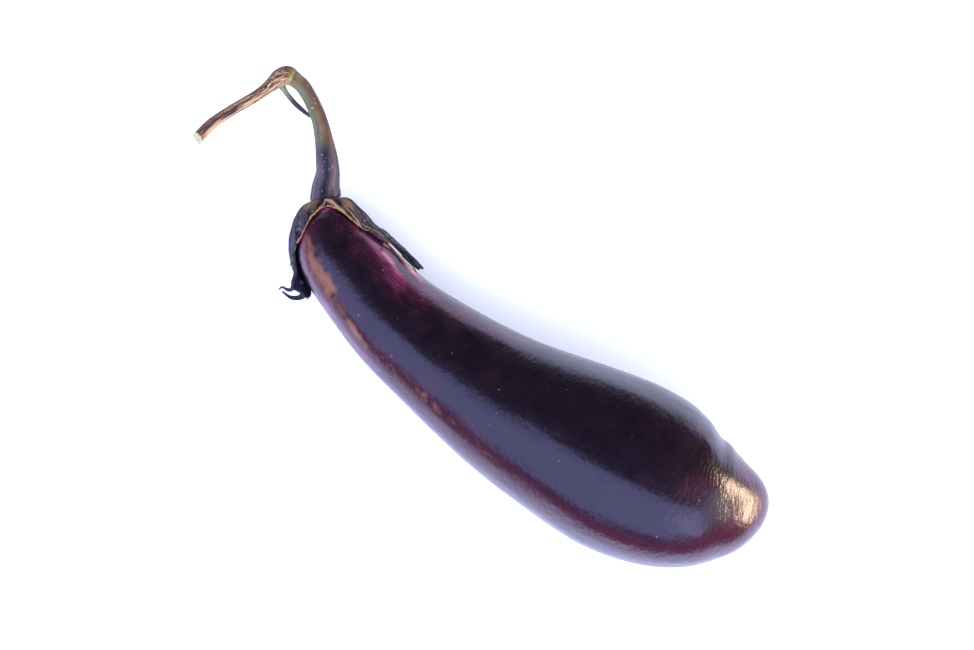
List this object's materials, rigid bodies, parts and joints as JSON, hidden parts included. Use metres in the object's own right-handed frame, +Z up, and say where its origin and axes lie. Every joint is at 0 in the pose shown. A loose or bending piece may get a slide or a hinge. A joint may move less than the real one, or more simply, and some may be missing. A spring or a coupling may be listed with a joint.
{
  "type": "eggplant",
  "caption": "Long dark purple eggplant lying on its side: glossy club-shaped fruit with torn calyx, curved fruit stalk and a cut piece of woody stem.",
  "frame": {"origin": "middle of the small flat spot under the belly, on the table", "axes": "+X from the calyx towards the blossom end, +Z up, +Y towards the side the fruit stalk bends to"},
  "size_m": [0.2569, 0.0876, 0.0651],
  "materials": {
    "fruit_skin": "waxy glossy skin, near-black purple",
    "calyx_skin": "matt, scurfy, charcoal purple with tan torn edge",
    "green_stalk": "fleshy stalk, green-grey to purple, slightly waxy",
    "stem_bark": "dry fissured bark, tan with dark furrows",
    "dry_stalk": "thin dry stalk, green to dark"
  },
  "bodies": {
    "root": {"fruit": "fruit_skin", "calyx": "calyx_skin", "fruit_stalk": "green_stalk", "woody_stem": "stem_bark", "side_stalk": "dry_stalk"}
  },
  "joints": []
}
